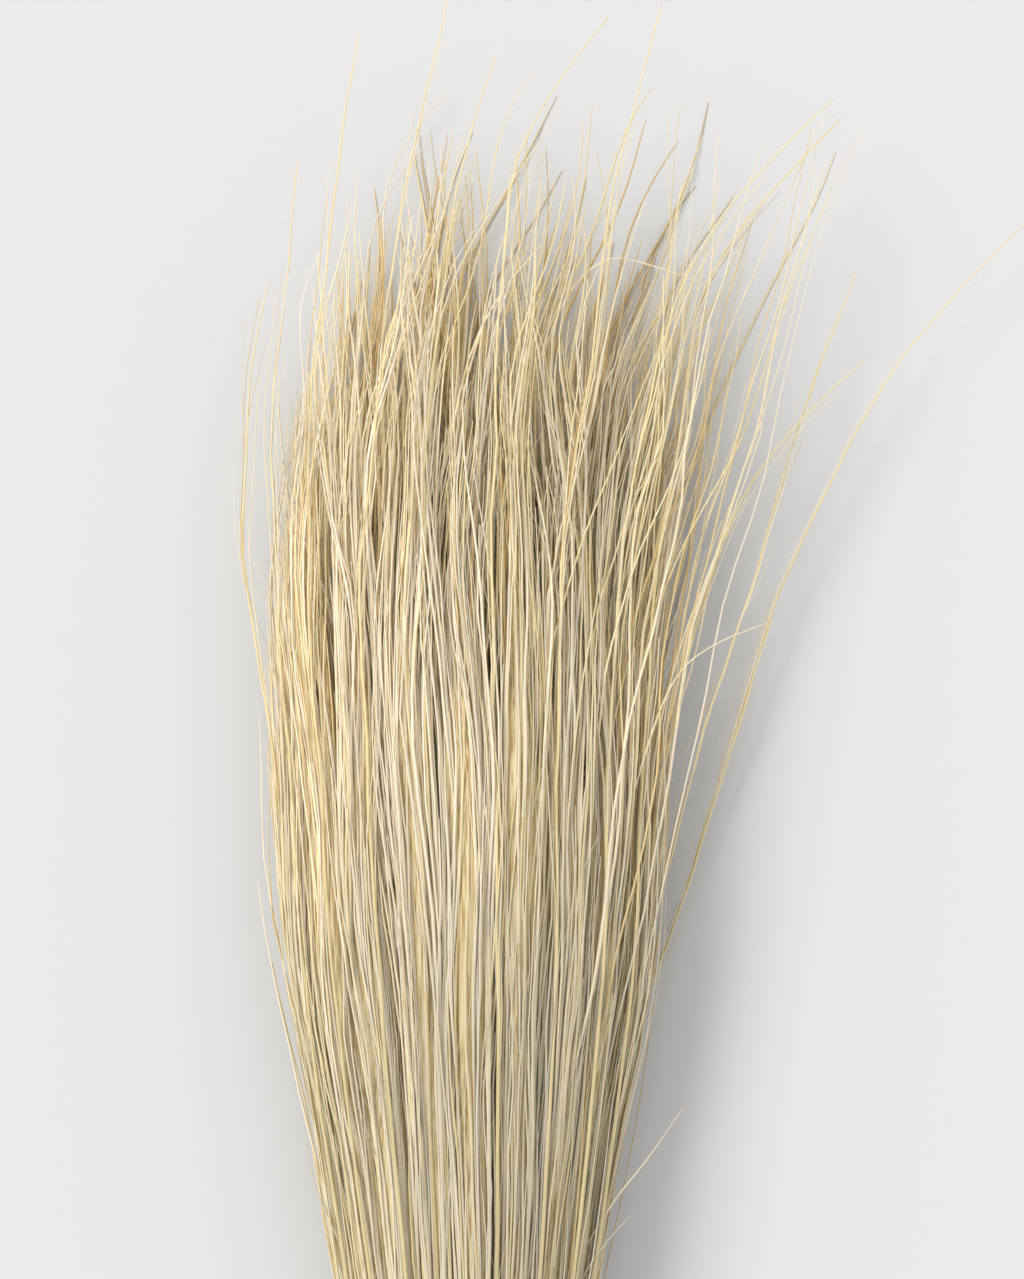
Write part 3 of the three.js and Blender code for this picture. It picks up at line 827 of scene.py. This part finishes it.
def tuft_piece(name, number):
    tuft = Tuft(name, number)
    rng = tuft.rng
    slot, tint_shift_with_painted_light = TUFT_FINISHES[(number - 1) % len(TUFT_FINISHES)]
    across = tuft.across.mean()
    # Painted light: tufts low in the bunch, and those further right, are painted more golden, as the warm
    # light bounced between stalks and the shaded side would make them; tufts on top and on the left are paler.
    level = look_up(tuft.frame, "z", np.array([300 * MM]))[0] / BUNCH_TOP
    tint_shift_with_painted_light += 0.42 * (min(level, 0.75) - 0.75) + 0.04
    tint_shift_with_painted_light -= 0.11 * float(smooth_step(0.6 + across))
    # Painted light: strands deep in their tuft are painted more golden, for the light bounced and passed
    # through the stalks above them.
    height = np.clip(tuft.q, -1, 1)
    tint = share(rng.normal(0.49, 0.17, STALKS_PER_TUFT) + tint_shift_with_painted_light + 0.24 * height)
    # Painted light: stalks are painted a little darker from left to right, as if less of the light from the
    # left reached the right; each tuft's tone also differs a little at random.
    painted_light = 1.09 - 0.20 * float(smooth_step(0.5 + 0.5 * across)) + rng.normal(0, 0.02)
    skin, hollow, thickness, culm_end = culms(tuft, tint, painted_light)
    batches = [skin, hollow, core(tuft, painted_light),
               flower_stems(tuft, tint, painted_light, thickness, culm_end),
               side_stems(tuft, tint_shift_with_painted_light, height, painted_light),
               *arching_stems(tuft), *bent_stems(tuft), barbs(tuft)]
    build_piece(f"{name}_stalks", batches, STRAW, name)


for number, name in enumerate(TUFTS, start=1):
    tuft_piece(name, number)


# ---------------------------------------------------------------- loose stalks

def loose_piece(name, number):
    """One long stalk on the frame's own route, with a few side stems and barbs on its upper half."""
    rng = np.random.default_rng([SEED, 100 + number])
    places, low, high = cross_sections(name)
    centres = (low + high) / 2
    first, last = centres[0, 1], centres[-1, 1]
    fine = np.linspace(first, last, 400)
    line_x = smooth_line(smooth_line(np.interp(fine, centres[:, 1], centres[:, 0]), 16), 10)
    line_z = smooth_line(smooth_line(np.interp(fine, centres[:, 1], centres[:, 2]), 16), 10)
    ripple = waves(rng, fine[None, :], 70 * MM, 0.5 * MM)[0]
    line_x = line_x + ripple * smooth_step((fine - first) / (last - first) * 2 - 0.6)

    def strands(shape, start, reach, away, up, thickness, tint):
        steps = even_steps(shape)
        along = start + reach * steps
        spread = np.sin(steps * np.pi * 0.5) ** 1.3
        x = np.interp(along, fine, line_x) + away * spread
        z = np.interp(along, fine, line_z) + up * spread
        radii = thickness(steps)
        routes = np.stack([x, along, np.maximum(z, radii + FLOOR_GAP)], 2)
        return shape, routes, radii, tint, np.ones(len(tint))

    def stalk_thickness(steps):
        return (CULM_RADIUS * 0.8 * (1 - steps ** 1.7) + TIP_RADIUS * 1.5)[None, :]

    start, reach = np.array([[first]]), np.array([[last - first]])
    batches = [strands(LONG_STALK, start, reach, 0, 0, stalk_thickness, np.array([0.36]))]
    count = SIDE_STEMS_PER_LOOSE_STALK
    reach = rng.uniform(70 * MM, 150 * MM, (count, 1))
    start = first + (last - first - reach) * rng.uniform(0.45, 1.0, (count, 1))
    away, up = rng.normal(0, 2.6 * MM, (count, 1)), rng.normal(0, 1.5 * MM, (count, 1))
    thin = rng.uniform(0.5, 0.8, (count, 1)) * SIDE_STEM_RADIUS
    tint = share(rng.normal(0.5, 0.2, count))
    batches.append(strands(SIDE_STEM, start, reach, away, up, lambda steps: thin * (1 - 0.5 * steps), tint))
    count = BARBS_PER_LOOSE_STALK
    reach = rng.uniform(15 * MM, 45 * MM, (count, 1))
    start = first + (last - first) * rng.uniform(0.5, 0.93, (count, 1))
    reach = np.minimum(reach, last - start)
    away, up = rng.normal(0, 2.2 * MM, (count, 1)), rng.normal(0, 1.5 * MM, (count, 1))
    fine_hair = np.full((count, 1), BARB_RADIUS)
    tint = share(rng.normal(0.5, 0.2, count))
    batches.append(strands(BARB, start, reach, away, up, lambda steps: fine_hair * (1 - 0.5 * steps), tint))
    build_piece(f"{name}_stalk", batches, STRAW, name)


for number, name in enumerate(LOOSE, start=1):
    loose_piece(name, number)


# ---------------------------------------------------------------- twine

# Each free end, from the knot: (across, along the bunch, up), in mm, for the one on the right.
FREE_END = ((2, 0, 0.4), (7.8, 4.2, 1.56), (16.1, 12.5, 0), (20.8, 20.8, -2.6))


def plies(centre, side, other):
    """The plies of a twisted cord along a centre line, given two directions square to it."""
    gone = distance_along(centre)
    routes = []
    for ply in range(PLIES):
        turn = gone / PLY_PITCH * 2 * np.pi + ply * 2 * np.pi / PLIES
        routes.append(centre + PLY_OFFSET * (np.cos(turn)[:, None] * side + np.sin(turn)[:, None] * other))
    return np.array(routes)


def level_plies(centre):
    """The plies of a cord that runs more or less level."""
    along = unit(np.gradient(centre, axis=0))
    side = unit(np.cross(along, np.array([0, 0, 1.0])))
    return plies(centre, side, np.cross(along, side))


def cord(shape, routes):
    """A batch of plies, all of the twine's own thickness and colour."""
    return shape, routes, np.full(routes.shape[:2], PLY_RADIUS), np.full(PLIES, 0.5), np.ones(PLIES)


def loose_fibres(rng, spots, outwards):
    """Short fibres that stand off the cord and sag, none through the floor."""
    chosen = rng.integers(0, len(spots), TWINE_FIBRES)
    aim = unit(outwards[chosen] + rng.normal(0, 0.7, (TWINE_FIBRES, 3)))
    steps = even_steps(BARB)
    reach = (0.6 * MM + rng.uniform(1.0, 3.6, (TWINE_FIBRES, 1)) * MM * steps)[..., None]
    sag = np.array([0, 0, -1.0]) * (0.9 * MM * steps ** 2)[None, :, None]
    fibres = spots[chosen][:, None, :] + aim[:, None, :] * reach + sag
    fibres[..., 2] = np.maximum(fibres[..., 2], 2 * FIBRE_RADIUS)
    radii = np.tile(FIBRE_RADIUS * (1 - 0.5 * steps), (TWINE_FIBRES, 1))
    return BARB, fibres, radii, np.full(TWINE_FIBRES, 0.5), np.ones(TWINE_FIBRES)


def twine_piece():
    """A three-ply cord wound round the stalks and knotted on top, with two free ends and its loose fibres."""
    rng = np.random.default_rng([SEED, 200])
    radius = COIL_OUTER - TWINE / 2
    steps = even_steps(COIL_PLY)
    angle = (steps * TWINE_TURNS + 0.25) * 2 * np.pi
    outward = np.stack([np.cos(angle), 0 * angle, np.sin(angle)], 1)
    lengthwise = np.array([0, 1.0, 0])
    middle = np.array([AXIS_X, TIE_Y, TIE_Z])
    coil = middle + radius * outward + ((steps - 0.5) * COIL_LENGTH)[:, None] * lengthwise
    batches = [cord(COIL_PLY, plies(coil, outward, np.tile(lengthwise, (len(steps), 1))))]
    # Knot: an overhand knot, drawn tight.
    top = middle + np.array([0, 0, radius + TWINE])
    steps = even_steps(CORD_PLY)
    turn = (KNOT_GAP + (1 - 2 * KNOT_GAP) * steps) * 2 * np.pi
    across = np.sin(turn) + 2 * np.sin(2 * turn)
    along = KNOT_LONG * (np.cos(turn) - 2 * np.cos(2 * turn))
    cords = [top + KNOT_LOOP * np.stack([across, along, -KNOT_FLAT * np.sin(3 * turn)], 1)]
    # Free ends, one to each side.
    for side in (-1, 1):
        stops = np.array(FREE_END) * (side, 1, 1) * MM
        way = np.linspace(0, len(stops) - 1, 300)
        straight = [np.interp(way, np.arange(len(stops)), stops[:, axis]) for axis in range(3)]
        line = np.stack([smooth_line(smooth_line(part, 30), 14) for part in straight], 1)
        cords.append(top + line[np.rint(steps * (len(line) - 1)).astype(int)])
    batches += [cord(CORD_PLY, level_plies(line)) for line in cords]
    outwards = np.concatenate([outward] + [rng.normal(0, 1, line.shape) for line in cords])
    batches.append(loose_fibres(rng, np.concatenate([coil, *cords]), outwards))
    build_piece("twine", batches, JUTE, "twine_tie")


twine_piece()


# ---------------------------------------------------------------- floor, light and camera

# The camera looks straight down on the heads; what it sees is this high, measured a little above the floor.
VIEW_HEIGHT = 384 * MM
VIEW_LEVEL = 20 * MM
VIEW_X = AXIS_X + 13 * MM
VIEW_Y = CUT_END + 442 * MM
CAMERA_Z = 1.3
SENSOR = 36
LENS = SENSOR * (CAMERA_Z - VIEW_LEVEL) / VIEW_HEIGHT
FLOOR_SIZE = 8


def add_floor():
    bpy.ops.object.select_all(action="DESELECT")
    bpy.ops.mesh.primitive_plane_add(size=FLOOR_SIZE, location=(0, 0, 0))
    floor = bpy.context.object
    floor.name = "floor"
    floor.data.materials.append(card_material())


def add_sun(name, aim, width, strength):
    """A far, soft light: the same brightness all over the floor."""
    bpy.ops.object.select_all(action="DESELECT")
    bpy.ops.object.light_add(type="SUN", location=(0, 0, 2))
    light = bpy.context.object
    light.name = name
    light.data.angle = width
    light.data.energy = strength
    light.rotation_euler = Vector(aim).to_track_quat("-Z", "Y").to_euler()


def add_world(strength):
    """White walls all round."""
    world = bpy.data.worlds.new("studio")
    world.use_nodes = True
    background = world.node_tree.nodes["Background"]
    background.inputs["Color"].default_value = (1, 1, 1, 1)
    background.inputs["Strength"].default_value = strength
    bpy.context.scene.world = world


def add_camera():
    bpy.ops.object.select_all(action="DESELECT")
    bpy.ops.object.camera_add(location=(VIEW_X, VIEW_Y, CAMERA_Z), rotation=(0, 0, 0))
    camera = bpy.context.object
    camera.name = "camera"
    camera.data.lens = LENS
    camera.data.sensor_width = SENSOR
    bpy.context.scene.camera = camera


add_floor()
add_sun("key_light", aim=(1.2, -0.68, -1.40), width=math.radians(28), strength=2.12)
add_world(strength=1.005)
add_camera()
bpy.context.scene.view_settings.view_transform = "Standard"
